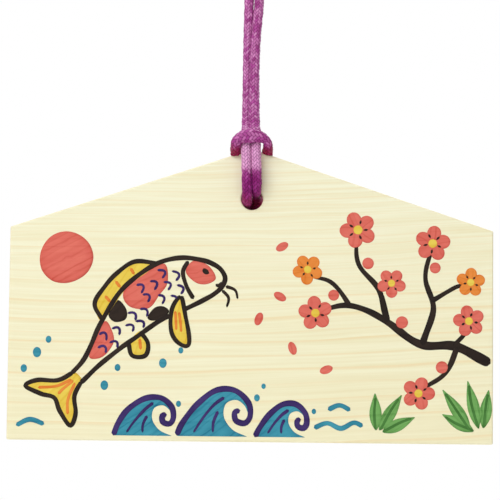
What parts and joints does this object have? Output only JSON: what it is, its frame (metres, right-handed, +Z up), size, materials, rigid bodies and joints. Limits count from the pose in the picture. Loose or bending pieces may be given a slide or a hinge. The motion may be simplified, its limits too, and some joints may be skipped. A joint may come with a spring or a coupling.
{
  "type": "ema plaque",
  "caption": "House-shaped softwood votive plaque with a hole under its apex, hung on a braided cord that is hitched through the hole and knotted above a hanging eye.",
  "frame": {"origin": "where a hook bears in the top of the cord's hanging eye, on the hanging line", "axes": "+Z up along the hanging line, +X along the plaque's width to the right of someone facing it, the front face looks towards -Y"},
  "size_m": [0.15, 0.0169, 0.1788],
  "materials": {
    "wood": "planed, unfinished",
    "cord": "satin braid"
  },
  "bodies": {
    "hanger": {"eye_left": "cord", "eye_right": "cord", "knot_left": "cord", "knot_right": "cord"},
    "strands": {"strand_left": "cord", "strand_right": "cord"},
    "plaque": {"board": "wood", "hitch": "cord"}
  },
  "joints": [
    {"name": "cord_twist", "type": "hinge", "parent": "hanger", "child": "strands", "pos_m": [0, 0, -0.016], "axis": [0, 0, 1], "range_deg": [-180, 180]},
    {"name": "plaque_swing", "type": "hinge", "parent": "strands", "child": "plaque", "pos_m": [0, 0, -0.05], "axis": [1, 0, 0], "range_deg": [-75, 75]}
  ]
}
